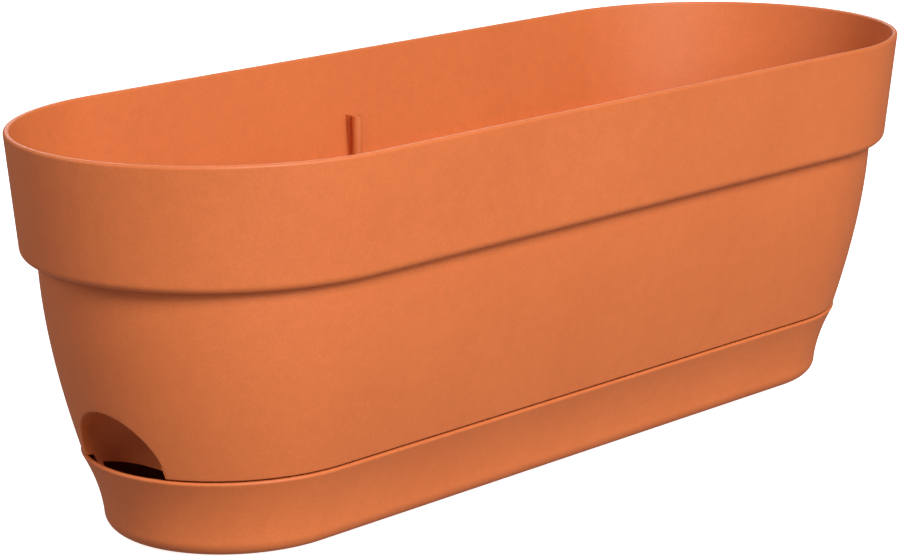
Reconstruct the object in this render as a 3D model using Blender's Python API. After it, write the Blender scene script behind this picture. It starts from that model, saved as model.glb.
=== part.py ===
"""Self-watering trough planter: a long round-ended trough that stands in a reservoir saucer.

Everything is in metres with +Z up. X runs along the planter, and the watering pocket is at the -X end.
The origin is on the ground, under the middle of the planter. Every level is a closed ring with two
straight sides and a half ellipse at each end, so a wall is one profile carried round that ring.
"""

import bmesh
import bpy
from math import atan2, cos, hypot, pi, sin, tan
from mathutils import Matrix, Vector

# Plan of every ring
HALF_STRAIGHT = 0.1546      # from the middle to where an end begins
END_STRETCH = 1.0776        # an end's reach along X over its half width
END_STEPS = 20              # flats in each half-ellipse end

# Heights
PLANTER_TOP = 0.1655
BAND_FOOT = 0.1148          # underside of the wide rim band
LIP_TOP = 0.0341            # top of the saucer
SEAM = 0.0008               # open line between the saucer's lip and the trough
SKIRT_FOOT = 0.0268         # lowest edge of the trough, inside the saucer
LEDGE_FOOT = 0.0318         # ledge round the trough's open bottom
LEDGE_TOP = 0.0341

# Half widths of the trough
RIM_HALF = 0.0862
BAND_FOOT_HALF = 0.0813
BAND_FOOT_EDGE = 0.0038     # radius of the band's lower edge
BODY_TOP_HALF = 0.0750
BODY_DRAW_IN = (0.0030, 0.0144, -0.0027)  # lost by the saucer: per depth, depth squared, depth cubed
SKIRT_TOP_HALF = 0.0574
SKIRT_FOOT_HALF = 0.0547
LEDGE_HALF = 0.0450         # edge of the open bottom

# Small rounded edges
RIM_ROUND = 0.0011
EDGE_ROUND = 0.0008
SHOULDER_ROUND = 0.0005
LIP_ROUND = 0.0009

# Wall thicknesses and clearances
WALL = 0.0024
THIN_WALL = 0.0022
SKIRT_WALL = 0.0021
INSERT_WALL = 0.0016
REST_GAP = 0.0003           # between pieces that rest on each other
SIDE_GAP = 0.0005
OVERRUN = 0.0020            # how far a cutter passes the faces it cuts
BEYOND_X = -0.2600          # outside the pocket end of the planter
BEYOND_Y = 0.0800           # outside the foot of its sides

# Watering pocket
ARCH_RADIUS = 0.0236
ARCH_CENTRE = 0.0360
ARCH_STEPS = 20
SCOOP_X = -0.2165           # where the pocket begins to narrow towards its rounded back
SCOOP_REACH = 0.0160
SCOOP_STEPS = 8
SCOOP_SQUARENESS = 0.87     # 1 gives a half ellipse in plan, and less a squarer back
HOOD_FOOT = 0.0314          # lowest edge of the pocket's back
END_FLOOR_X = -0.1900       # the end floor reaches from the pocket to here
END_FLOOR_INSET = 0.0003    # how much thinner it is than the ledge, above and below

# Hollow post on the back wall
POST_X = -0.0070
POST_Y = 0.0743
POST_TOP = 0.1374
POST_RADIUS = 0.00235
POST_BORE = 0.00115
POST_BORE_DEPTH = 0.0120
WEB_THICKNESS = 0.0016
WEB_TOP_DROP = 0.0003       # below the top of the post
WEB_TOP_HALF = 0.0822       # in the middle of the sloping band

# Saucer
SAUCER_FLOOR = 0.0024
SAUCER_EDGE = 0.0072        # radius of its bottom edge
LIP_FLARE = 0.0009          # how far the lip stands out past the trough
SAUCER_CURVE = 0.0285       # depth over which the side draws in
SAUCER_DRAW_IN = (0.0155, -0.0064)  # lost over it: per depth, depth squared
RIB_THICKNESS = 0.0020
RIB_REACH = 0.0062          # from the outside of the saucer to the inner edge of a rib
RIB_FOOT_REACH = 0.0040
RIB_BEND = 0.0080           # height at which a rib's back turns up the wall
RIB_SPACING = 0.0700
RIBS_A_SIDE = 5

# Soil separator
PANEL_HALF = 0.0540
PANEL_RIM = 0.0018
PANEL_THICKNESS = 0.0020
PANEL_HEIGHT = 0.0060
PANEL_NOTCH_X = -0.1945
PANEL_NOTCH_HALF = 0.0330
SLOT_LENGTH = 0.0200
SLOT_WIDTH = 0.0040
SLOT_SPACING = 0.0320
SLOT_ROW = 0.0340

# Wick cups
CUP_X = 0.0960
CUP_TOP_RADIUS = 0.0213
CUP_FOOT_RADIUS = 0.0175
CUP_FLANGE_RADIUS = 0.0262
CUP_FLOOR_GAP = 0.0010
CUP_STEPS = 32
CUP_SLOTS = 8
CUP_SLOT_WIDTH = 0.0030
CUP_SLOT_RISE = 0.0040      # from the foot of a cup to the foot of its slots
CUP_SLOT_TOP = 0.0240
CUP_SLOT_NEAR = 0.0090      # a slot's cutter runs out between these distances from the cup's axis
CUP_SLOT_FAR = 0.0300

TERRACOTTA = (0.58, 0.17, 0.045, 1.0)
BLACK = (0.012, 0.012, 0.013, 1.0)


# Scene -----------------------------------------------------------------------------------------------

def clear_scene():
    for obj in list(bpy.data.objects):
        bpy.data.objects.remove(obj)


def new_collection(name):
    collection = bpy.data.collections.new(name)
    bpy.context.scene.collection.children.link(collection)
    return collection


def plastic(name, colour, roughness):
    material = bpy.data.materials.new(name)
    material.use_nodes = True
    shader = material.node_tree.nodes["Principled BSDF"]
    shader.inputs["Base Color"].default_value = colour
    shader.inputs["Roughness"].default_value = roughness
    shader.inputs["Metallic"].default_value = 0.0
    return material


def new_object(name, bm, collection):
    mesh = bpy.data.meshes.new(name)
    bm.to_mesh(mesh)
    bm.free()
    obj = bpy.data.objects.new(name, mesh)
    collection.objects.link(obj)
    return obj


def new_cutter(name, bm, collection):
    """A body that is only joined to a piece, or cut out of one."""
    obj = new_object(name, bm, collection)
    obj.hide_render = True
    obj.display_type = "WIRE"
    return obj


def finish_piece(obj, material, sharp_angle=0.6):
    obj.data.materials.append(material)
    obj.data.shade_smooth()
    obj.data.set_sharp_from_angle(angle=sharp_angle)


def add_boolean(obj, name, operation, other):
    modifier = obj.modifiers.new(name, "BOOLEAN")
    modifier.operation = operation
    modifier.solver = "EXACT"
    modifier.object = other


# Profiles --------------------------------------------------------------------------------------------

def round_corner(before, corner, after, radius, steps):
    """The arc that rounds off one corner of an outline."""
    corner = Vector(corner)
    to_before = (Vector(before) - corner).normalized()
    to_after = (Vector(after) - corner).normalized()
    half_angle = to_before.angle(to_after) / 2
    centre = corner + (to_before + to_after).normalized() * (radius / sin(half_angle))
    start = corner + to_before * (radius / tan(half_angle)) - centre
    end = corner + to_after * (radius / tan(half_angle)) - centre
    first = atan2(start.y, start.x)
    turn = (atan2(end.y, end.x) - first + pi) % (2 * pi) - pi
    angles = [first + turn * i / steps for i in range(steps + 1)]
    return [centre + Vector((cos(a), sin(a))) * radius for a in angles]


def rounded(outline, closed=False):
    """Points of an outline whose corners are (half width, height, corner radius, steps)."""
    points = []
    count = len(outline)
    for i, (width, height, radius, steps) in enumerate(outline):
        at_end = not closed and i in (0, count - 1)
        if at_end or radius == 0:
            points.append(Vector((width, height)))
        else:
            before = outline[i - 1][:2]
            after = outline[(i + 1) % count][:2]
            points += round_corner(before, (width, height), after, radius, steps)
    return points


def body_half(height):
    """Half width of the trough's outside below the band: a curve that draws in faster lower down."""
    depth = (BAND_FOOT - height) / (BAND_FOOT - LIP_TOP)
    first, second, third = BODY_DRAW_IN
    return BODY_TOP_HALF - first * depth - second * depth ** 2 - third * depth ** 3


def saucer_half(height):
    """Half width of the saucer's outside: hollow, nearly upright at the foot, flared at the lip."""
    depth = (LIP_TOP - height) / SAUCER_CURVE
    first, second = SAUCER_DRAW_IN
    return body_half(LIP_TOP) + LIP_FLARE - first * depth - second * depth ** 2


def wall_run(half, top, foot, count, inset=0.0):
    """Plain corners down a curved wall, top to foot, set in from its outside."""
    heights = [top + (foot - top) * i / (count - 1) for i in range(count)]
    return [(half(z) - inset, z, 0, 0) for z in heights]


# Bodies ----------------------------------------------------------------------------------------------

def ring_mesh(profile, closed):
    """Half of a body: the profile spun round the -X end, then carried along both straight sides."""
    bm = bmesh.new()
    verts = [bm.verts.new((-HALF_STRAIGHT, p.x, p.y)) for p in profile]
    edges = [bm.edges.new(pair) for pair in zip(verts, verts[1:])]
    if closed:
        edges.append(bm.edges.new((verts[-1], verts[0])))
    centre = Vector((-HALF_STRAIGHT, 0, 0))
    spun = bmesh.ops.spin(bm, geom=verts + edges, cent=centre, axis=(0, 0, 1), angle=pi, steps=END_STEPS)
    bmesh.ops.scale(bm, vec=(END_STRETCH, 1, 1), space=Matrix.Translation(-centre), verts=bm.verts)
    last = [item for item in spun["geom_last"] if isinstance(item, bmesh.types.BMEdge)]
    grown = bmesh.ops.extrude_edge_only(bm, edges=edges + last)
    moved = [item for item in grown["geom"] if isinstance(item, bmesh.types.BMVert)]
    for vert in moved:
        vert.co.x = 0
    bmesh.ops.remove_doubles(bm, verts=bm.verts, dist=1e-6)
    bmesh.ops.recalc_face_normals(bm, faces=bm.faces)
    return bm


def ring_body(name, profile, collection, make=new_object, closed=True):
    """A whole round-ended body. An open profile starts and ends on the middle line, as a solid's does."""
    bm = ring_mesh(profile, closed)
    mirrored = bmesh.ops.duplicate(bm, geom=bm.verts[:] + bm.edges[:] + bm.faces[:])
    half = [item for item in mirrored["geom"] if isinstance(item, bmesh.types.BMVert)]
    faces = [item for item in mirrored["geom"] if isinstance(item, bmesh.types.BMFace)]
    for vert in half:
        vert.co.x = -vert.co.x
    bmesh.ops.reverse_faces(bm, faces=faces)
    bmesh.ops.remove_doubles(bm, verts=bm.verts, dist=1e-6)
    bmesh.ops.recalc_face_normals(bm, faces=bm.faces)
    return make(name, bm, collection)


def box_mesh(low, high):
    bm = bmesh.new()
    middle = (Vector(low) + Vector(high)) / 2
    size = Vector(high) - Vector(low)
    bmesh.ops.create_cube(bm, size=1, matrix=Matrix.Translation(middle) @ Matrix.Diagonal((*size, 1)))
    return bm


def rod_mesh(centre, foot, top, radius, segments):
    bm = bmesh.new()
    place = Matrix.Translation((centre[0], centre[1], (foot + top) / 2))
    bmesh.ops.create_cone(
        bm, cap_ends=True, segments=segments, radius1=radius, radius2=radius, depth=top - foot,
        matrix=place)
    return bm


def prism_mesh(outline, along):
    """A flat outline, given as a ring of corners, pushed out along a vector."""
    bm = bmesh.new()
    face = bm.faces.new([bm.verts.new(corner) for corner in outline])
    grown = bmesh.ops.extrude_face_region(bm, geom=[face])
    verts = [item for item in grown["geom"] if isinstance(item, bmesh.types.BMVert)]
    bmesh.ops.translate(bm, vec=along, verts=verts)
    bmesh.ops.recalc_face_normals(bm, faces=bm.faces)
    return bm


def turned_mesh(profile, axis_x, steps):
    """A closed outline of (radius, height) turned once round an upright axis."""
    bm = bmesh.new()
    verts = [bm.verts.new((axis_x + p.x, 0, p.y)) for p in profile]
    edges = [bm.edges.new(pair) for pair in zip(verts, verts[1:])]
    bmesh.ops.spin(
        bm, geom=verts + edges, cent=(axis_x, 0, 0), axis=(0, 0, 1), angle=2 * pi, steps=steps,
        use_merge=True)
    bmesh.ops.remove_doubles(bm, verts=bm.verts, dist=1e-6)
    bmesh.ops.recalc_face_normals(bm, faces=bm.faces)
    return bm


# Trough ----------------------------------------------------------------------------------------------

def trough_profile():
    shoulder = LIP_TOP + SEAM
    inner_ledge = BAND_FOOT + WALL
    skirt_slope = (SKIRT_TOP_HALF - SKIRT_FOOT_HALF) / (shoulder - SKIRT_FOOT)
    skirt_lean = skirt_slope * (LEDGE_FOOT - SKIRT_FOOT)
    outside = [
        (RIM_HALF, PLANTER_TOP, RIM_ROUND, 3),
        (BAND_FOOT_HALF, BAND_FOOT, BAND_FOOT_EDGE, 4),
        (BODY_TOP_HALF, BAND_FOOT, EDGE_ROUND, 1),
    ]
    outside += wall_run(body_half, BAND_FOOT - 0.004, shoulder + 0.002, 7)
    outside += [
        (body_half(shoulder), shoulder, SHOULDER_ROUND, 1),
        (SKIRT_TOP_HALF, shoulder, 0, 0),
        (SKIRT_FOOT_HALF, SKIRT_FOOT, EDGE_ROUND, 1),
    ]
    inside = [
        (SKIRT_FOOT_HALF - SKIRT_WALL, SKIRT_FOOT, EDGE_ROUND, 1),
        (SKIRT_FOOT_HALF - SKIRT_WALL + skirt_lean, LEDGE_FOOT, 0, 0),
        (LEDGE_HALF, LEDGE_FOOT, 0, 0),
        (LEDGE_HALF, LEDGE_TOP, 0, 0),
        (SKIRT_TOP_HALF - WALL, LEDGE_TOP, 0, 0),
        (SKIRT_TOP_HALF - WALL, shoulder + WALL, 0, 0),
    ]
    inside += wall_run(body_half, shoulder + WALL + 0.001, inner_ledge - 0.003, 6, inset=WALL)
    inside += [
        (BODY_TOP_HALF - WALL, inner_ledge, EDGE_ROUND, 1),
        (BAND_FOOT_HALF - WALL, inner_ledge, BAND_FOOT_EDGE - WALL, 2),
        (RIM_HALF - WALL, PLANTER_TOP, RIM_ROUND, 3),
    ]
    return rounded(outside + inside, closed=True)


def wall_core(collection):
    """The space out to the middle of the trough's wall, low down. What joins the wall is kept inside it."""
    shoulder = LIP_TOP + SEAM
    top = ARCH_CENTRE + ARCH_RADIUS + 3 * WALL
    inset = WALL / 2
    foot = HOOD_FOOT - OVERRUN
    outline = [(0, foot, 0, 0), (SKIRT_FOOT_HALF, foot, 0, 0)]
    outline += [(SKIRT_TOP_HALF - inset, shoulder + inset, 0, 0)]
    outline += wall_run(body_half, shoulder + WALL, top, 6, inset=inset)
    outline += [(0, top, 0, 0)]
    return ring_body("wall_core", rounded(outline), collection, new_cutter, closed=False)


def arch_outline(radius, foot, x):
    arc = [pi * i / ARCH_STEPS for i in range(ARCH_STEPS + 1)]
    points = [(x, radius * cos(a), ARCH_CENTRE + radius * sin(a)) for a in arc]
    return [(x, radius, foot)] + points + [(x, -radius, foot)]


def scoop_mesh(grow, foot):
    """The pocket's space, or the hood round it when it is grown by a wall: an arched tunnel that runs in
    from the end and narrows to a rounded back."""
    angles = [pi / 2 * i / SCOOP_STEPS for i in range(SCOOP_STEPS + 1)]
    sections = [(BEYOND_X, ARCH_RADIUS + grow)]
    for a in angles:
        x = SCOOP_X + (SCOOP_REACH + grow) * abs(sin(a)) ** SCOOP_SQUARENESS
        sections.append((x, (ARCH_RADIUS + grow) * abs(cos(a)) ** SCOOP_SQUARENESS))
    bm = bmesh.new()
    rings = [[bm.verts.new(corner) for corner in arch_outline(radius, foot, x)] for x, radius in sections]
    bm.faces.new(rings[0])
    for ring, following in zip(rings, rings[1:]):
        for i in range(len(ring)):
            bm.faces.new((ring[i - 1], ring[i], following[i], following[i - 1]))
    bmesh.ops.remove_doubles(bm, verts=bm.verts, dist=1e-6)
    bmesh.ops.recalc_face_normals(bm, faces=bm.faces)
    return bm


def post_web_mesh():
    """The upright web between the post and the sloping wall of the band."""
    foot = BAND_FOOT + WALL / 2
    outline = [
        (POST_X - WEB_THICKNESS / 2, POST_Y + POST_RADIUS / 2, foot),
        (POST_X - WEB_THICKNESS / 2, BAND_FOOT_HALF - WALL / 2, foot),
        (POST_X - WEB_THICKNESS / 2, WEB_TOP_HALF, POST_TOP - WEB_TOP_DROP),
        (POST_X - WEB_THICKNESS / 2, POST_Y + POST_RADIUS / 2, POST_TOP - WEB_TOP_DROP),
    ]
    return prism_mesh(outline, (WEB_THICKNESS, 0, 0))


def make_trough(parts, cutters):
    trough = ring_body("planter_trough", trough_profile(), parts)
    core = wall_core(cutters)

    hood = new_cutter("pocket_hood", scoop_mesh(WALL, HOOD_FOOT), cutters)
    add_boolean(hood, "inside_wall", "INTERSECT", core)
    low = (BEYOND_X, -BEYOND_Y, LEDGE_FOOT + END_FLOOR_INSET)
    high = (END_FLOOR_X, BEYOND_Y, LEDGE_TOP - END_FLOOR_INSET)
    end_floor = new_cutter("end_floor", box_mesh(low, high), cutters)
    add_boolean(end_floor, "inside_wall", "INTERSECT", core)
    add_boolean(trough, "hood", "UNION", hood)
    add_boolean(trough, "end_floor", "UNION", end_floor)
    space = new_cutter("pocket_space", scoop_mesh(0, SKIRT_FOOT - OVERRUN), cutters)
    add_boolean(trough, "pocket", "DIFFERENCE", space)

    post_foot = BAND_FOOT + WALL / 2
    post = rod_mesh((POST_X, POST_Y), post_foot, POST_TOP, POST_RADIUS, 20)
    bore = rod_mesh((POST_X, POST_Y), POST_TOP - POST_BORE_DEPTH, POST_TOP + OVERRUN, POST_BORE, 12)
    add_boolean(trough, "post", "UNION", new_cutter("post", post, cutters))
    add_boolean(trough, "post_web", "UNION", new_cutter("post_web", post_web_mesh(), cutters))
    add_boolean(trough, "post_bore", "DIFFERENCE", new_cutter("post_bore", bore, cutters))
    return trough


# Saucer ----------------------------------------------------------------------------------------------

def saucer_profile():
    edge = SAUCER_EDGE
    foot_half = saucer_half(0.0)
    outside = [(saucer_half(LIP_TOP), LIP_TOP, LIP_ROUND, 2)]
    outside += wall_run(saucer_half, LIP_TOP - 0.003, edge + 0.001, 6)
    outside += [(foot_half, 0.0, edge - 0.0005, 5)]
    inside = [(foot_half - THIN_WALL, SAUCER_FLOOR, edge - THIN_WALL, 3)]
    inside += wall_run(saucer_half, edge + 0.001, LIP_TOP - 0.004, 6, inset=THIN_WALL)
    inside += [(saucer_half(LIP_TOP) - THIN_WALL, LIP_TOP, LIP_ROUND, 2)]
    return rounded([(0, SAUCER_FLOOR, 0, 0)] + inside + outside + [(0, 0.0, 0, 0)])


def rib_outline(x, side):
    """A seat rib: it stands on the floor against the wall, and the trough's skirt rests on its top."""
    top = SKIRT_FOOT - REST_GAP
    inset = THIN_WALL / 2
    corners = [
        (saucer_half(0.0) - RIB_REACH, SAUCER_FLOOR / 2),
        (saucer_half(0.0) - RIB_FOOT_REACH, SAUCER_FLOOR / 2),
        (saucer_half(RIB_BEND) - inset, RIB_BEND),
        (saucer_half(top) - inset, top),
        (saucer_half(top) - RIB_REACH, top),
    ]
    return [(x, side * width, height) for width, height in corners]


def make_saucer(parts, cutters):
    saucer = ring_body("reservoir_saucer", saucer_profile(), parts, closed=False)
    for side, side_name in ((-1, "front"), (1, "back")):
        for i in range(RIBS_A_SIDE):
            x = (i - (RIBS_A_SIDE - 1) / 2) * RIB_SPACING
            rib = prism_mesh(rib_outline(x - RIB_THICKNESS / 2, side), (RIB_THICKNESS, 0, 0))
            name = f"seat_rib_{side_name}_{i + 1}"
            add_boolean(saucer, name, "UNION", new_cutter(name, rib, cutters))
    return saucer


# Separator and wick cups -----------------------------------------------------------------------------

def slot_mesh(centre, length, width, foot, top):
    """An upright slot with round ends."""
    radius = width / 2
    reach = length / 2 - radius
    angles = [pi * i / 5 - pi / 2 for i in range(6)]
    right = [(centre[0] + reach + radius * cos(a), centre[1] + radius * sin(a), foot) for a in angles]
    left = [(centre[0] - reach - radius * cos(a), centre[1] - radius * sin(a), foot) for a in angles]
    return prism_mesh(right + left, (0, 0, top - foot))


def separator_profile(foot):
    return rounded([
        (0, foot + PANEL_THICKNESS, 0, 0),
        (PANEL_HALF - PANEL_RIM, foot + PANEL_THICKNESS, EDGE_ROUND, 2),
        (PANEL_HALF - PANEL_RIM, foot + PANEL_HEIGHT, 0, 0),
        (PANEL_HALF, foot + PANEL_HEIGHT, 0, 0),
        (PANEL_HALF, foot, EDGE_ROUND, 2),
        (0, foot, 0, 0),
    ])


def make_separator(parts, cutters):
    foot = LEDGE_TOP + REST_GAP
    panel = ring_body("soil_separator", separator_profile(foot), parts, closed=False)
    low = foot - OVERRUN
    high = foot + PANEL_HEIGHT + OVERRUN
    notch = box_mesh((BEYOND_X, -PANEL_NOTCH_HALF, low), (PANEL_NOTCH_X, PANEL_NOTCH_HALF, high))
    add_boolean(panel, "pocket_notch", "DIFFERENCE", new_cutter("pocket_notch", notch, cutters))
    for side, name in ((-1, "socket_left"), (1, "socket_right")):
        hole = rod_mesh((side * CUP_X, 0), low, high, CUP_TOP_RADIUS + SIDE_GAP, CUP_STEPS)
        add_boolean(panel, name, "DIFFERENCE", new_cutter(name, hole, cutters))
    for row in (-1, 0, 1):
        for column in range(-5, 6):
            centre = (column * SLOT_SPACING, row * SLOT_ROW)
            clear = min(hypot(centre[0] - side * CUP_X, centre[1]) for side in (-1, 1))
            if clear > CUP_FLANGE_RADIUS:
                name = f"slot_{row + 2}_{column + 6}"
                slot = slot_mesh(centre, SLOT_LENGTH, SLOT_WIDTH, low, high)
                add_boolean(panel, name, "DIFFERENCE", new_cutter(name, slot, cutters))
    return panel


def cup_profile(flange_foot, cup_foot):
    flange_top = flange_foot + INSERT_WALL
    return [Vector(point) for point in (
        (0, cup_foot + INSERT_WALL),
        (CUP_FOOT_RADIUS - INSERT_WALL, cup_foot + INSERT_WALL),
        (CUP_TOP_RADIUS - INSERT_WALL, flange_top),
        (CUP_FLANGE_RADIUS, flange_top),
        (CUP_FLANGE_RADIUS, flange_foot),
        (CUP_TOP_RADIUS, flange_foot),
        (CUP_FOOT_RADIUS, cup_foot),
        (0, cup_foot),
    )]


def make_cup(name, x, parts, cutters):
    flange_foot = LEDGE_TOP + REST_GAP + PANEL_THICKNESS + REST_GAP
    cup_foot = SAUCER_FLOOR + CUP_FLOOR_GAP
    cup = new_object(name, turned_mesh(cup_profile(flange_foot, cup_foot), x, CUP_STEPS), parts)
    for i in range(CUP_SLOTS):
        low = (CUP_SLOT_NEAR, -CUP_SLOT_WIDTH / 2, cup_foot + CUP_SLOT_RISE)
        bm = box_mesh(low, (CUP_SLOT_FAR, CUP_SLOT_WIDTH / 2, CUP_SLOT_TOP))
        turn = Matrix.Translation((x, 0, 0)) @ Matrix.Rotation(2 * pi * (i + 0.5) / CUP_SLOTS, 4, "Z")
        bmesh.ops.transform(bm, matrix=turn, verts=bm.verts)
        slot_name = f"{name}_slot_{i + 1}"
        add_boolean(cup, slot_name, "DIFFERENCE", new_cutter(slot_name, bm, cutters))
    return cup


def main():
    clear_scene()
    parts = new_collection("self_watering_planter")
    cutters = new_collection("cutters")
    finish_piece(make_trough(parts, cutters), plastic("trough_plastic", TERRACOTTA, 0.55))
    finish_piece(make_saucer(parts, cutters), plastic("saucer_plastic", TERRACOTTA, 0.55))
    finish_piece(make_separator(parts, cutters), plastic("separator_plastic", BLACK, 0.6))
    for side, name in ((-1, "wick_cup_left"), (1, "wick_cup_right")):
        finish_piece(make_cup(name, side * CUP_X, parts, cutters), plastic(name + "_plastic", BLACK, 0.6))


main()
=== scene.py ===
"""Looks of the self-watering trough planter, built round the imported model.

The trough and the saucer are rebuilt here as finer meshes on the same measures, with rounded edges, and
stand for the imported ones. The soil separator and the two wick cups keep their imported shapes. Metres, +Z up.
"""

from math import atan2, cos, pi, radians, sin, sqrt, tan

import bmesh
import bpy
from mathutils import Matrix, Vector


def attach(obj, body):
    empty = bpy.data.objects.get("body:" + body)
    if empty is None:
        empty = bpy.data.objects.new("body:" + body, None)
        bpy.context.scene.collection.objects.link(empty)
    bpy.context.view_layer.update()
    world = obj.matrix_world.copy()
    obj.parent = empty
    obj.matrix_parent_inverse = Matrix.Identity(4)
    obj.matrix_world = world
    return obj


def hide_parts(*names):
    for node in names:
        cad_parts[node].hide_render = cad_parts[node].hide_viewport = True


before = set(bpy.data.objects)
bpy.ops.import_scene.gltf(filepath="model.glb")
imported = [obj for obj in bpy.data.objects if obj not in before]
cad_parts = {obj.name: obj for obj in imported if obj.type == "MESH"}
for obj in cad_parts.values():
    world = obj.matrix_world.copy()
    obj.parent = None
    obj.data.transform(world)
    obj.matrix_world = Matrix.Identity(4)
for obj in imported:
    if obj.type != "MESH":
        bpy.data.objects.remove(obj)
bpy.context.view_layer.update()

# Plan of every ring: two straight sides and a half ellipse at each end
HALF_STRAIGHT = 0.1546
END_STRETCH = 1.0776
END_STEPS = 72
SIDE_STEPS = 14

# Points along the profiles
LONGEST_RUN = 0.0030
EDGE_GUARD = 0.0005
BODY_POINTS = 32
INNER_BODY_POINTS = 28
SAUCER_POINTS = 16
INNER_SAUCER_POINTS = 14
CORE_POINTS = 10
WELD = 1e-6

# Heights
PLANTER_TOP = 0.1655
BAND_FOOT = 0.1148
LIP_TOP = 0.0341
SHOULDER = 0.0349
SKIRT_FOOT = 0.0268
LEDGE_FOOT = 0.0318
LEDGE_TOP = 0.0341

# Half widths
RIM_HALF = 0.0862
BAND_FOOT_HALF = 0.0813
BODY_TOP_HALF = 0.0750
BODY_DRAW_IN = (0.0030, 0.0144, -0.0027)
SKIRT_TOP_HALF = 0.0574
SKIRT_FOOT_HALF = 0.0547
LEDGE_HALF = 0.0450

# Walls and rounded edges
WALL = 0.0024
THIN_WALL = 0.0022
SKIRT_WALL = 0.0021
RIM_ROUND = 0.0011
BAND_FOOT_ROUND = 0.0038
EDGE_ROUND = 0.0008
SHOULDER_ROUND = 0.0005
LEDGE_ROUND = 0.0004
LIP_ROUND = 0.0009

# How far the curved walls stop short of the corners above and below them
BELOW_BAND = 0.0025
ABOVE_SHOULDER = 0.0015
INSIDE_BELOW_BAND = 0.0030
INSIDE_ABOVE_SHOULDER = 0.0010
BELOW_LIP = 0.0020
ABOVE_EDGE = 0.0005
INSIDE_BELOW_LIP = 0.0030
INSIDE_ABOVE_EDGE = 0.0010

# How far cutting bodies reach past what they cut, and places clear of the planter
OVERRUN = 0.0020
BEYOND_X = -0.2600
BEYOND_Y = 0.0800

# Watering pocket
ARCH_RADIUS = 0.0236
ARCH_CENTRE = 0.0360
ARCH_STEPS = 60
SCOOP_X = -0.2165
SCOOP_REACH = 0.0160
SCOOP_STEPS = 20
SCOOP_SQUARENESS = 0.87
HOOD_FOOT = 0.0314
END_FLOOR_X = -0.1900
END_FLOOR_INSET = 0.0003
MOUTH_ROUND = 0.0008
MOUTH_STEPS = 6
MOUTH_START = radians(14)
MOUTH_RUN_OUT = 0.0080

# Hollow post on the back wall
POST_X = -0.0070
POST_Y = 0.0743
POST_TOP = 0.1374
POST_RADIUS = 0.00235
POST_BORE = 0.00115
POST_BORE_DEPTH = 0.0120
POST_ROUND = 0.0004
POST_STEPS = 40
BORE_FLARE = 0.0003
BORE_STEPS = 32
WEB_THICKNESS = 0.0016
WEB_TOP_DROP = 0.0003
WEB_TOP_HALF = 0.0822

# Saucer
SAUCER_FLOOR = 0.0024
SAUCER_MIDDLE = 0.0220
SAUCER_EDGE = 0.0072
SAUCER_EDGE_TRIM = 0.0003
LIP_FLARE = 0.0009
SAUCER_CURVE = 0.0285
SAUCER_DRAW_IN = (0.0155, -0.0064)
REST_GAP = 0.0003
RIB_THICKNESS = 0.0020
RIB_REACH = 0.0062
RIB_FOOT_REACH = 0.0040
RIB_BEND = 0.0080
RIB_SPACING = 0.0700
RIBS_A_SIDE = 5

# Faces that meet at more than this angle, in degrees, keep a sharp edge
SHARP_ANGLE = 40

# Plastic: deep and pale are the ends of its drift of colour, and the scales are of noise, per metre
DEEP_TERRACOTTA = (0.600, 0.151, 0.041, 1)
PALE_TERRACOTTA = (0.635, 0.165, 0.046, 1)
TERRACOTTA_ROUGHNESS = 0.52
TERRACOTTA_GRAIN = 0.00012
# Near-black plastic of the separator and wick cups; its darkness also serves as painted shade in the slot under
# the pocket's hood
DEEP_BLACK = (0.010, 0.010, 0.011, 1)
PALE_BLACK = (0.015, 0.015, 0.016, 1)
BLACK_ROUGHNESS = 0.5
BLACK_GRAIN = 0.00010
DRIFT_SCALE = 14.0
CLOUD_SCALE = 160.0
FLECK_SCALE = 900.0
NOISE_LOW = 0.3
NOISE_HIGH = 0.7
FLECK_SHADE = 0.045
CLOUD_SHADE = 0.025
FLECK_SMOOTHER = 0.04
FLECK_ROUGHER = 0.05
CLOUD_IN_GRAIN = 0.6
GRAIN_STRENGTH = 0.35
PLASTIC_IOR = 1.49
PLASTIC_SPECULAR = 0.45

# Floor and light from all round
WHITE = (1, 1, 1, 1)
FLOOR_SIZE = 6.0
FLOOR_DROP = -0.0005
FLOOR_COLOUR = (0.9, 0.9, 0.9, 1)
FLOOR_ROUGHNESS = 0.9
FLOOR_GLOW = 0.85
FROM_ABOVE = 0.22
FROM_BELOW = 0.42
HORIZON_BLEND = 0.3
WARMTH = (1.0, 0.87, 0.82, 1)
MIRRORED = 0.18
BACKDROP = 1.1

# Soft boxes: name, azimuth and elevation in degrees, width and height in metres, power in watts
LIGHT_TARGET = (0, 0, 0.08)
LIGHT_DISTANCE = 2.4
LIGHTS = (
    ("key", -21, 37, 0.9, 0.8, 44.0),
    ("front_fill", -9, 24, 1.3, 0.9, 25.0),
    ("rear_left", -122, 31, 0.9, 0.9, 13.0),
    ("rim", 140, 30, 1.4, 0.9, 18.0),
)

# Camera, at the photograph's place
SENSOR_WIDTH = 36
LENS = 121.0
NEAREST = 0.05
FARTHEST = 40
CAMERA_PLACE = (-0.96555, -0.86739, 0.39266)
CAMERA_AHEAD = (0.71328, 0.65867, -0.23953)
CAMERA_ROLL = -0.0011


# Profiles --------------------------------------------------------------------------------------------

def round_corner(before, corner, after, radius, steps):
    """The arc that rounds off one corner of an outline."""
    corner = Vector(corner)
    to_before = (Vector(before) - corner).normalized()
    to_after = (Vector(after) - corner).normalized()
    half_angle = to_before.angle(to_after) / 2
    centre = corner + (to_before + to_after).normalized() * (radius / sin(half_angle))
    start = corner + to_before * (radius / tan(half_angle)) - centre
    end = corner + to_after * (radius / tan(half_angle)) - centre
    first = atan2(start.y, start.x)
    turn = (atan2(end.y, end.x) - first + pi) % (2 * pi) - pi
    angles = [first + turn * i / steps for i in range(steps + 1)]
    return [centre + Vector((cos(a), sin(a))) * radius for a in angles]


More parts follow.
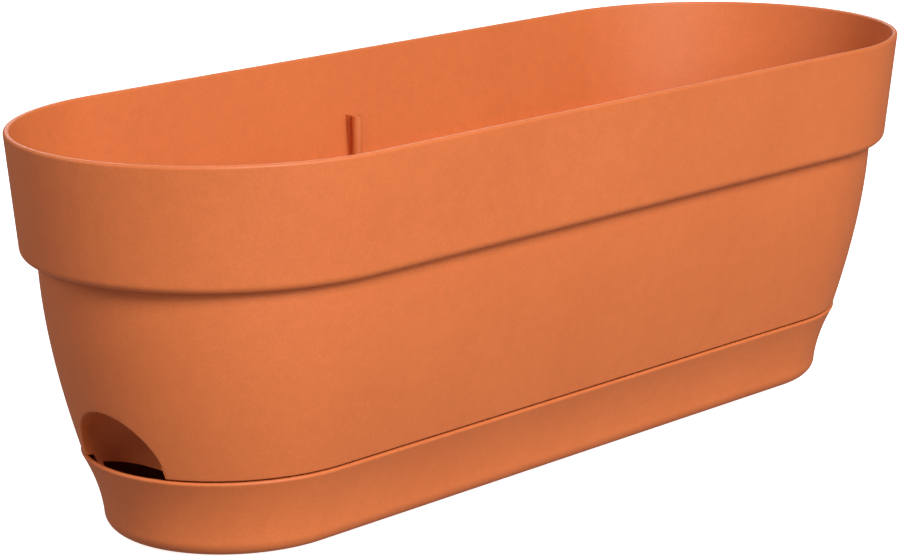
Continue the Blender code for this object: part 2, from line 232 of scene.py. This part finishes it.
def rounded(outline, closed=False):
    """Points of an outline whose corners are (half width, height, corner radius, steps)."""
    points = []
    count = len(outline)
    for i, (width, height, radius, steps) in enumerate(outline):
        at_end = not closed and i in (0, count - 1)
        if at_end or radius == 0:
            points.append(Vector((width, height)))
        else:
            before = outline[i - 1][:2]
            after = outline[(i + 1) % count][:2]
            points += round_corner(before, (width, height), after, radius, steps)
    return points


def refined(points, closed=False):
    """The same outline with its long runs split up, and with a point close to each of their ends, so that
    the shading of a rounded edge stays at the edge."""
    result = []
    pairs = list(zip(points, points[1:]))
    if closed:
        pairs.append((points[-1], points[0]))
    for start, end in pairs:
        result.append(start)
        length = (end - start).length
        if length > LONGEST_RUN:
            inner = length - 2 * EDGE_GUARD
            count = max(1, round(inner / LONGEST_RUN))
            stops = [EDGE_GUARD + inner * i / count for i in range(count + 1)]
            result += [start.lerp(end, stop / length) for stop in stops]
    if not closed:
        result.append(points[-1])
    return result


def body_half(height):
    """Half width of the trough's outside between its shoulder and its band."""
    depth = (BAND_FOOT - height) / (BAND_FOOT - LIP_TOP)
    first, second, third = BODY_DRAW_IN
    return BODY_TOP_HALF - first * depth - second * depth ** 2 - third * depth ** 3


def saucer_half(height):
    """Half width of the saucer's outside."""
    depth = (LIP_TOP - height) / SAUCER_CURVE
    first, second = SAUCER_DRAW_IN
    return body_half(LIP_TOP) + LIP_FLARE - first * depth - second * depth ** 2


def wall_run(half, top, foot, count, inset=0.0):
    """Outline corners down a curved wall whose half width at a height is half(height)."""
    heights = [top + (foot - top) * i / (count - 1) for i in range(count)]
    return [(half(z) - inset, z, 0, 0) for z in heights]


def trough_profile():
    """The trough's wall as one closed outline, down the outside and up the inside."""
    inner_step = BAND_FOOT + WALL
    body_top = BAND_FOOT - BELOW_BAND
    body_foot = SHOULDER + ABOVE_SHOULDER
    inside_top = inner_step - INSIDE_BELOW_BAND
    inside_foot = SHOULDER + WALL + INSIDE_ABOVE_SHOULDER
    skirt_slope = (SKIRT_TOP_HALF - SKIRT_FOOT_HALF) / (SHOULDER - SKIRT_FOOT)
    skirt_lean = skirt_slope * (LEDGE_FOOT - SKIRT_FOOT)
    outside = [
        (RIM_HALF, PLANTER_TOP, RIM_ROUND, 6),
        (BAND_FOOT_HALF, BAND_FOOT, BAND_FOOT_ROUND, 10),
        (BODY_TOP_HALF, BAND_FOOT, EDGE_ROUND, 4),
    ]
    outside += wall_run(body_half, body_top, body_foot, BODY_POINTS)
    outside += [
        (body_half(SHOULDER), SHOULDER, SHOULDER_ROUND, 4),
        (SKIRT_TOP_HALF, SHOULDER, 0, 0),
        (SKIRT_FOOT_HALF, SKIRT_FOOT, EDGE_ROUND, 3),
    ]
    inside = [
        (SKIRT_FOOT_HALF - SKIRT_WALL, SKIRT_FOOT, EDGE_ROUND, 3),
        (SKIRT_FOOT_HALF - SKIRT_WALL + skirt_lean, LEDGE_FOOT, 0, 0),
        (LEDGE_HALF, LEDGE_FOOT, LEDGE_ROUND, 2),
        (LEDGE_HALF, LEDGE_TOP, LEDGE_ROUND, 2),
        (SKIRT_TOP_HALF - WALL, LEDGE_TOP, 0, 0),
        (SKIRT_TOP_HALF - WALL, SHOULDER + WALL, 0, 0),
    ]
    inside += wall_run(body_half, inside_foot, inside_top, INNER_BODY_POINTS, inset=WALL)
    inside += [
        (BODY_TOP_HALF - WALL, inner_step, EDGE_ROUND, 4),
        (BAND_FOOT_HALF - WALL, inner_step, BAND_FOOT_ROUND - WALL, 5),
        (RIM_HALF - WALL, PLANTER_TOP, RIM_ROUND, 6),
    ]
    return refined(rounded(outside + inside, closed=True), closed=True)


def saucer_profile():
    """The saucer's wall and floor, out along the floor, over the lip and back underneath."""
    foot_half = saucer_half(0.0)
    lip_half = saucer_half(LIP_TOP)
    wall_top = LIP_TOP - BELOW_LIP
    wall_foot = SAUCER_EDGE + ABOVE_EDGE
    inside_top = LIP_TOP - INSIDE_BELOW_LIP
    inside_foot = SAUCER_EDGE + INSIDE_ABOVE_EDGE
    inside = [
        (0, SAUCER_FLOOR, 0, 0),
        (SAUCER_MIDDLE, SAUCER_FLOOR, 0, 0),
        (foot_half - THIN_WALL, SAUCER_FLOOR, SAUCER_EDGE - THIN_WALL, 10),
    ]
    inside += wall_run(saucer_half, inside_foot, inside_top, INNER_SAUCER_POINTS, inset=THIN_WALL)
    inside += [(lip_half - THIN_WALL, LIP_TOP, LIP_ROUND, 6)]
    outside = [(lip_half, LIP_TOP, LIP_ROUND, 6)]
    outside += wall_run(saucer_half, wall_top, wall_foot, SAUCER_POINTS)
    outside += [
        (foot_half, 0.0, SAUCER_EDGE - SAUCER_EDGE_TRIM, 14),
        (SAUCER_MIDDLE, 0.0, 0, 0),
        (0, 0.0, 0, 0),
    ]
    return rounded(inside + outside)


# Bodies ----------------------------------------------------------------------------------------------

def ring_stations():
    """(x offset, x scale, y scale) round the plan, counter-clockwise from the middle of the +X end."""
    quarter = [pi / 2 * i / (END_STEPS // 2) for i in range(END_STEPS // 2 + 1)]
    right = [(HALF_STRAIGHT, END_STRETCH * cos(a), sin(a)) for a in quarter]
    sides = [(HALF_STRAIGHT * (1 - 2 * i / SIDE_STEPS), 0.0, 1.0) for i in range(1, SIDE_STEPS)]
    upper = right + sides + [(-x, -sx, sy) for x, sx, sy in reversed(right)]
    lower = [(x, sx, -sy) for x, sx, sy in reversed(upper)][1:-1]
    return upper + lower


def ring_mesh(profile, closed):
    """A body whose wall is one profile carried round the plan."""
    bm = bmesh.new()
    rings = []
    for x, scale_x, scale_y in ring_stations():
        rings.append([bm.verts.new((x + p.x * scale_x, p.x * scale_y, p.y)) for p in profile])
    count = len(profile)
    last = count if closed else count - 1
    for i, ring in enumerate(rings):
        following = rings[(i + 1) % len(rings)]
        for j in range(last):
            k = (j + 1) % count
            bm.faces.new((ring[j], ring[k], following[k], following[j]))
    bmesh.ops.remove_doubles(bm, verts=bm.verts, dist=WELD)
    bmesh.ops.dissolve_degenerate(bm, edges=bm.edges, dist=WELD)
    bmesh.ops.recalc_face_normals(bm, faces=bm.faces)
    return bm


def box_mesh(low, high):
    bm = bmesh.new()
    middle = (Vector(low) + Vector(high)) / 2
    size = Vector(high) - Vector(low)
    bmesh.ops.create_cube(bm, size=1, matrix=Matrix.Translation(middle) @ Matrix.Diagonal((*size, 1)))
    return bm


def lathe_mesh(profile, centre, steps):
    """A closed body turned round an upright axis from a profile that starts and ends on the axis."""
    bm = bmesh.new()
    rings = []
    x, y = centre
    for i in range(steps):
        a = 2 * pi * i / steps
        rings.append([bm.verts.new((x + r * cos(a), y + r * sin(a), z)) for r, z in profile])
    for i, ring in enumerate(rings):
        following = rings[(i + 1) % steps]
        for j in range(len(profile) - 1):
            bm.faces.new((ring[j], following[j], following[j + 1], ring[j + 1]))
    bmesh.ops.remove_doubles(bm, verts=bm.verts, dist=WELD)
    bmesh.ops.recalc_face_normals(bm, faces=bm.faces)
    return bm


def prism_mesh(outline, along):
    """A closed body swept from a flat outline along one vector."""
    bm = bmesh.new()
    face = bm.faces.new([bm.verts.new(corner) for corner in outline])
    grown = bmesh.ops.extrude_face_region(bm, geom=[face])
    verts = [item for item in grown["geom"] if isinstance(item, bmesh.types.BMVert)]
    bmesh.ops.translate(bm, vec=along, verts=verts)
    bmesh.ops.recalc_face_normals(bm, faces=bm.faces)
    return bm


def skin(rings):
    """A closed body through rings of the same number of points, each a list of corners."""
    bm = bmesh.new()
    made = [[bm.verts.new(corner) for corner in ring] for ring in rings]
    bm.faces.new(made[0])
    for ring, following in zip(made, made[1:]):
        for i in range(len(ring)):
            bm.faces.new((ring[i - 1], ring[i], following[i], following[i - 1]))
    bmesh.ops.remove_doubles(bm, verts=bm.verts, dist=WELD)
    bmesh.ops.recalc_face_normals(bm, faces=bm.faces)
    return bm


def new_object(name, bm):
    mesh = bpy.data.meshes.new(name)
    bm.to_mesh(mesh)
    bm.free()
    obj = bpy.data.objects.new(name, mesh)
    bpy.context.scene.collection.objects.link(obj)
    return obj


def joined(obj, *steps):
    """Joins bodies to obj, or cuts them out of it, and removes them."""
    for operation, bm in steps:
        other = new_object("cutter", bm)
        modifier = obj.modifiers.new("join", "BOOLEAN")
        modifier.operation = operation
        modifier.solver = "EXACT"
        modifier.object = other
        bpy.context.view_layer.update()
        evaluated = obj.evaluated_get(bpy.context.evaluated_depsgraph_get())
        mesh = bpy.data.meshes.new_from_object(evaluated)
        obj.modifiers.clear()
        old = obj.data
        obj.data = mesh
        bpy.data.meshes.remove(old)
        cutter = other.data
        bpy.data.objects.remove(other)
        bpy.data.meshes.remove(cutter)
    return obj


def taken_from(obj):
    """The body of obj, which is removed."""
    bm = bmesh.new()
    bm.from_mesh(obj.data)
    bpy.data.objects.remove(obj)
    return bm


# Trough ----------------------------------------------------------------------------------------------

def arch_points(radius, foot):
    """(y, z) round the pocket's arch, from one foot over the top to the other."""
    arc = [pi * i / ARCH_STEPS for i in range(ARCH_STEPS + 1)]
    top = [(radius * cos(a), ARCH_CENTRE + radius * sin(a)) for a in arc]
    return [(radius, foot)] + top + [(-radius, foot)]


def outside_x(y, z):
    """X of the trough's outside at the pocket end."""
    half = body_half(z)
    return -(HALF_STRAIGHT + END_STRETCH * sqrt(max(0.0, half ** 2 - y ** 2)))


def scoop_back(grow, foot):
    """Rings of the rounded back of the pocket, or with grow, of the hood round it."""
    angles = [pi / 2 * i / SCOOP_STEPS for i in range(SCOOP_STEPS + 1)]
    rings = []
    for a in angles:
        x = SCOOP_X + (SCOOP_REACH + grow) * abs(sin(a)) ** SCOOP_SQUARENESS
        radius = (ARCH_RADIUS + grow) * abs(cos(a)) ** SCOOP_SQUARENESS
        rings.append([(x, y, z) for y, z in arch_points(radius, foot)])
    return rings


def hood_mesh():
    """The pocket's hood, as a solid that the pocket is then cut out of."""
    mouth = [(BEYOND_X, y, z) for y, z in arch_points(ARCH_RADIUS + WALL, HOOD_FOOT)]
    return skin([mouth] + scoop_back(WALL, HOOD_FOOT))


def pocket_mesh():
    """The space of the pocket. Its mouth widens where it meets the outside, which rounds the edge there."""
    foot = SKIRT_FOOT - OVERRUN
    run_out_grow = MOUTH_ROUND * (1 - sin(MOUTH_START)) + MOUTH_RUN_OUT * cos(MOUTH_START)
    run_out_depth = MOUTH_ROUND * (1 - cos(MOUTH_START)) - MOUTH_RUN_OUT * sin(MOUTH_START)
    traces = [(run_out_grow, run_out_depth)]
    for i in range(MOUTH_STEPS + 1):
        a = MOUTH_START + (pi / 2 - MOUTH_START) * i / MOUTH_STEPS
        traces.append((MOUTH_ROUND * (1 - sin(a)), MOUTH_ROUND * (1 - cos(a))))
    rings = []
    for grow, depth in traces:
        points = arch_points(ARCH_RADIUS + grow, foot)
        rings.append([(outside_x(y, max(z, SHOULDER)) + depth, y, z) for y, z in points])
    start = [(BEYOND_X, y, z) for _, y, z in rings[0]]
    return skin([start] + rings + scoop_back(0.0, foot))


def wall_core():
    """The space out to the middle of the trough's wall, low down."""
    top = ARCH_CENTRE + ARCH_RADIUS + 3 * WALL
    inset = WALL / 2
    foot = HOOD_FOOT - OVERRUN
    outline = [(0, foot, 0, 0), (SKIRT_FOOT_HALF, foot, 0, 0)]
    outline += [(SKIRT_TOP_HALF - inset, SHOULDER + inset, 0, 0)]
    outline += wall_run(body_half, SHOULDER + WALL, top, CORE_POINTS, inset=inset)
    outline += [(0, top, 0, 0)]
    return ring_mesh(rounded(outline), closed=False)


def inside_core(bm):
    """What of a body lies inside the middle of the trough's wall."""
    return taken_from(joined(new_object("part", bm), ("INTERSECT", wall_core())))


def post_mesh():
    foot = BAND_FOOT + WALL / 2
    outline = [(0, foot, 0, 0), (POST_RADIUS, foot, 0, 0), (POST_RADIUS, POST_TOP, POST_ROUND, 4)]
    outline += [(0, POST_TOP, 0, 0)]
    profile = [(p.x, p.y) for p in rounded(outline)]
    return lathe_mesh(profile, (POST_X, POST_Y), POST_STEPS)


def bore_mesh():
    foot = POST_TOP - POST_BORE_DEPTH
    flare = POST_BORE + BORE_FLARE
    outline = [(0, foot), (POST_BORE, foot), (POST_BORE, POST_TOP - BORE_FLARE), (flare, POST_TOP)]
    outline += [(flare, POST_TOP + OVERRUN), (0, POST_TOP + OVERRUN)]
    return lathe_mesh(outline, (POST_X, POST_Y), BORE_STEPS)


def web_mesh():
    """The web between the post and the wall."""
    foot = BAND_FOOT + WALL / 2
    x = POST_X - WEB_THICKNESS / 2
    outline = [
        (x, POST_Y + POST_RADIUS / 2, foot),
        (x, BAND_FOOT_HALF - WALL / 2, foot),
        (x, WEB_TOP_HALF, POST_TOP - WEB_TOP_DROP),
        (x, POST_Y + POST_RADIUS / 2, POST_TOP - WEB_TOP_DROP),
    ]
    return prism_mesh(outline, (WEB_THICKNESS, 0, 0))


def make_trough():
    low = (BEYOND_X, -BEYOND_Y, LEDGE_FOOT + END_FLOOR_INSET)
    high = (END_FLOOR_X, BEYOND_Y, LEDGE_TOP - END_FLOOR_INSET)
    return joined(
        new_object("trough", ring_mesh(trough_profile(), closed=True)),
        ("UNION", inside_core(hood_mesh())),
        ("UNION", inside_core(box_mesh(low, high))),
        ("DIFFERENCE", pocket_mesh()),
        ("UNION", post_mesh()),
        ("UNION", web_mesh()),
        ("DIFFERENCE", bore_mesh()),
    )


# Saucer ----------------------------------------------------------------------------------------------

def rib_outline(x, side):
    """One face of a rib, on the side of the saucer that side (-1 or 1) says."""
    top = SKIRT_FOOT - REST_GAP
    inset = THIN_WALL / 2
    corners = [
        (saucer_half(0.0) - RIB_REACH, SAUCER_FLOOR / 2),
        (saucer_half(0.0) - RIB_FOOT_REACH, SAUCER_FLOOR / 2),
        (saucer_half(RIB_BEND) - inset, RIB_BEND),
        (saucer_half(top) - inset, top),
        (saucer_half(top) - RIB_REACH, top),
    ]
    return [(x, side * width, height) for width, height in corners]


def make_saucer():
    saucer = new_object("saucer", ring_mesh(saucer_profile(), closed=False))
    ribs = []
    for side in (-1, 1):
        for i in range(RIBS_A_SIDE):
            x = (i - (RIBS_A_SIDE - 1) / 2) * RIB_SPACING
            face = rib_outline(x - RIB_THICKNESS / 2, side)
            ribs.append(("UNION", prism_mesh(face, (RIB_THICKNESS, 0, 0))))
    return joined(saucer, *ribs)


# Materials -------------------------------------------------------------------------------------------

def material_nodes(name):
    material = bpy.data.materials.new(name)
    material.use_nodes = True
    tree = material.node_tree
    return material, tree.nodes, tree.links, tree.nodes["Principled BSDF"]


def noise(nodes, links, coordinates, scale, detail, roughness):
    node = nodes.new("ShaderNodeTexNoise")
    node.inputs["Scale"].default_value = scale
    node.inputs["Detail"].default_value = detail
    node.inputs["Roughness"].default_value = roughness
    links.new(coordinates, node.inputs["Vector"])
    return node.outputs["Fac"]


def ranged(nodes, links, value, low, high, to_low, to_high):
    """The value moved from the range low to high into the range to_low to to_high."""
    node = nodes.new("ShaderNodeMapRange")
    node.inputs["From Min"].default_value = low
    node.inputs["From Max"].default_value = high
    node.inputs["To Min"].default_value = to_low
    node.inputs["To Max"].default_value = to_high
    links.new(value, node.inputs["Value"])
    return node.outputs["Result"]


def mixed(nodes, links, factor, first, second, blend="MIX"):
    node = nodes.new("ShaderNodeMix")
    node.data_type = "RGBA"
    node.blend_type = blend
    for socket, value in (("Factor_Float", factor), ("A_Color", first), ("B_Color", second)):
        target = next(s for s in node.inputs if s.identifier == socket)
        if isinstance(value, bpy.types.NodeSocket):
            links.new(value, target)
        else:
            target.default_value = value
    return next(s for s in node.outputs if s.identifier == "Result_Color")


def plastic(name, deep, pale, roughness, grain):
    """Moulded plastic with a fine matte grain and a slow drift of colour between deep and pale."""
    material, nodes, links, shader = material_nodes(name)

    def over_noise(value, to_low, to_high):
        return ranged(nodes, links, value, NOISE_LOW, NOISE_HIGH, to_low, to_high)

    place = nodes.new("ShaderNodeTexCoord").outputs["Object"]
    drift = noise(nodes, links, place, DRIFT_SCALE, detail=3.0, roughness=0.5)
    fleck = noise(nodes, links, place, FLECK_SCALE, detail=2.0, roughness=0.6)
    cloud = noise(nodes, links, place, CLOUD_SCALE, detail=2.0, roughness=0.55)

    both = nodes.new("ShaderNodeMath")
    both.operation = "MULTIPLY"
    links.new(over_noise(fleck, 1 - FLECK_SHADE, 1 + FLECK_SHADE), both.inputs[0])
    links.new(over_noise(cloud, 1 - CLOUD_SHADE, 1 + CLOUD_SHADE), both.inputs[1])
    tone = nodes.new("ShaderNodeCombineColor")
    for channel in ("Red", "Green", "Blue"):
        links.new(both.outputs[0], tone.inputs[channel])
    base = mixed(nodes, links, over_noise(drift, 0.0, 1.0), deep, pale)
    colour = mixed(nodes, links, 1.0, base, tone.outputs["Color"], "MULTIPLY")
    links.new(colour, shader.inputs["Base Color"])
    matte = over_noise(fleck, roughness - FLECK_SMOOTHER, roughness + FLECK_ROUGHER)
    links.new(matte, shader.inputs["Roughness"])

    height = nodes.new("ShaderNodeMath")
    height.operation = "MULTIPLY_ADD"
    height.inputs[1].default_value = CLOUD_IN_GRAIN
    links.new(cloud, height.inputs[0])
    links.new(fleck, height.inputs[2])
    bump = nodes.new("ShaderNodeBump")
    bump.inputs["Strength"].default_value = GRAIN_STRENGTH
    bump.inputs["Distance"].default_value = grain
    links.new(height.outputs[0], bump.inputs["Height"])
    links.new(bump.outputs["Normal"], shader.inputs["Normal"])

    shader.inputs["Metallic"].default_value = 0.0
    shader.inputs["IOR"].default_value = PLASTIC_IOR
    shader.inputs["Specular IOR Level"].default_value = PLASTIC_SPECULAR
    return material


def terracotta_plastic(name):
    return plastic(name, DEEP_TERRACOTTA, PALE_TERRACOTTA, TERRACOTTA_ROUGHNESS, TERRACOTTA_GRAIN)


def shade(obj):
    obj.data.shade_smooth()
    obj.data.set_sharp_from_angle(angle=radians(SHARP_ANGLE))


def dress(obj, material):
    obj.data.materials.clear()
    obj.data.materials.append(material)


# Pieces ----------------------------------------------------------------------------------------------

trough = make_trough()
shade(trough)
dress(trough, terracotta_plastic("terracotta_plastic"))
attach(trough, "trough")
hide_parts("planter_trough")

saucer = make_saucer()
shade(saucer)
dress(saucer, terracotta_plastic("saucer_terracotta"))
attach(saucer, "saucer")
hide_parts("reservoir_saucer")

# The separator and the wick cups are near-black plastic; seen through the slot under the pocket's hood, their
# dark colour also stands in for deep shade there, as painted shade
black = plastic("black_plastic", DEEP_BLACK, PALE_BLACK, BLACK_ROUGHNESS, BLACK_GRAIN)
for name in ("soil_separator", "wick_cup_left", "wick_cup_right"):
    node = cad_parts[name]
    dress(node, black)


# Studio ----------------------------------------------------------------------------------------------

def make_floor():
    """A pale floor just below the planter's foot. It sends no light onto the planter."""
    bm = bmesh.new()
    bmesh.ops.create_grid(bm, x_segments=1, y_segments=1, size=FLOOR_SIZE)
    floor = new_object("floor", bm)
    material, _, _, shader = material_nodes("pale_floor")
    shader.inputs["Base Color"].default_value = FLOOR_COLOUR
    shader.inputs["Roughness"].default_value = FLOOR_ROUGHNESS
    shader.inputs["Emission Color"].default_value = WHITE
    shader.inputs["Emission Strength"].default_value = FLOOR_GLOW
    dress(floor, material)
    floor.visible_diffuse = False
    floor.visible_glossy = False
    floor.location.z = FLOOR_DROP


def make_world():
    """Soft warm light from all round, a weaker white one in gloss, and a white backdrop."""
    world = bpy.data.worlds.new("studio")
    bpy.context.scene.world = world
    world.use_nodes = True
    nodes, links = world.node_tree.nodes, world.node_tree.links
    path = nodes.new("ShaderNodeLightPath")
    shader = nodes["Background"]
    shader.inputs["Color"].default_value = WARMTH
    direction = nodes.new("ShaderNodeSeparateXYZ")
    links.new(nodes.new("ShaderNodeTexCoord").outputs["Generated"], direction.inputs["Vector"])
    height = direction.outputs["Z"]
    strength = ranged(nodes, links, height, -HORIZON_BLEND, HORIZON_BLEND, FROM_BELOW, FROM_ABOVE)
    links.new(strength, shader.inputs["Strength"])
    result = shader.outputs["Background"]
    for ray, brightness in (("Is Glossy Ray", MIRRORED), ("Is Camera Ray", BACKDROP)):
        seen = nodes.new("ShaderNodeBackground")
        seen.inputs["Color"].default_value = WHITE
        seen.inputs["Strength"].default_value = brightness
        mix = nodes.new("ShaderNodeMixShader")
        links.new(path.outputs[ray], mix.inputs["Fac"])
        links.new(result, mix.inputs[1])
        links.new(seen.outputs["Background"], mix.inputs[2])
        result = mix.outputs["Shader"]
    links.new(result, nodes["World Output"].inputs["Surface"])


def add_light(name, azimuth, elevation, width, height, power):
    """A soft box that looks at the planter. Azimuth 0 stands in front, at -Y, and +90 at +X."""
    data = bpy.data.lights.new(name, "AREA")
    data.shape = "RECTANGLE"
    data.size = width
    data.size_y = height
    data.energy = power
    lamp = bpy.data.objects.new(name, data)
    bpy.context.scene.collection.objects.link(lamp)
    a, e = radians(azimuth), radians(elevation)
    away = Vector((sin(a) * cos(e), -cos(a) * cos(e), sin(e)))
    lamp.location = Vector(LIGHT_TARGET) + away * LIGHT_DISTANCE
    lamp.rotation_euler = away.to_track_quat("Z", "Y").to_euler()


def make_camera():
    data = bpy.data.cameras.new("camera")
    data.sensor_width = SENSOR_WIDTH
    data.lens = LENS
    data.clip_start = NEAREST
    data.clip_end = FARTHEST
    camera = bpy.data.objects.new("camera", data)
    bpy.context.scene.collection.objects.link(camera)
    ahead = Vector(CAMERA_AHEAD).normalized()
    level = ahead.cross(Vector((0, 0, 1))).normalized()
    upright = level.cross(ahead)
    right = level * cos(CAMERA_ROLL) + upright * sin(CAMERA_ROLL)
    up = upright * cos(CAMERA_ROLL) - level * sin(CAMERA_ROLL)
    turn = Matrix((right, up, -ahead)).transposed()
    camera.matrix_world = Matrix.Translation(CAMERA_PLACE) @ turn.to_4x4()
    bpy.context.scene.camera = camera


make_floor()
make_world()
for light in LIGHTS:
    add_light(*light)
make_camera()
bpy.context.scene.view_settings.view_transform = "Standard"
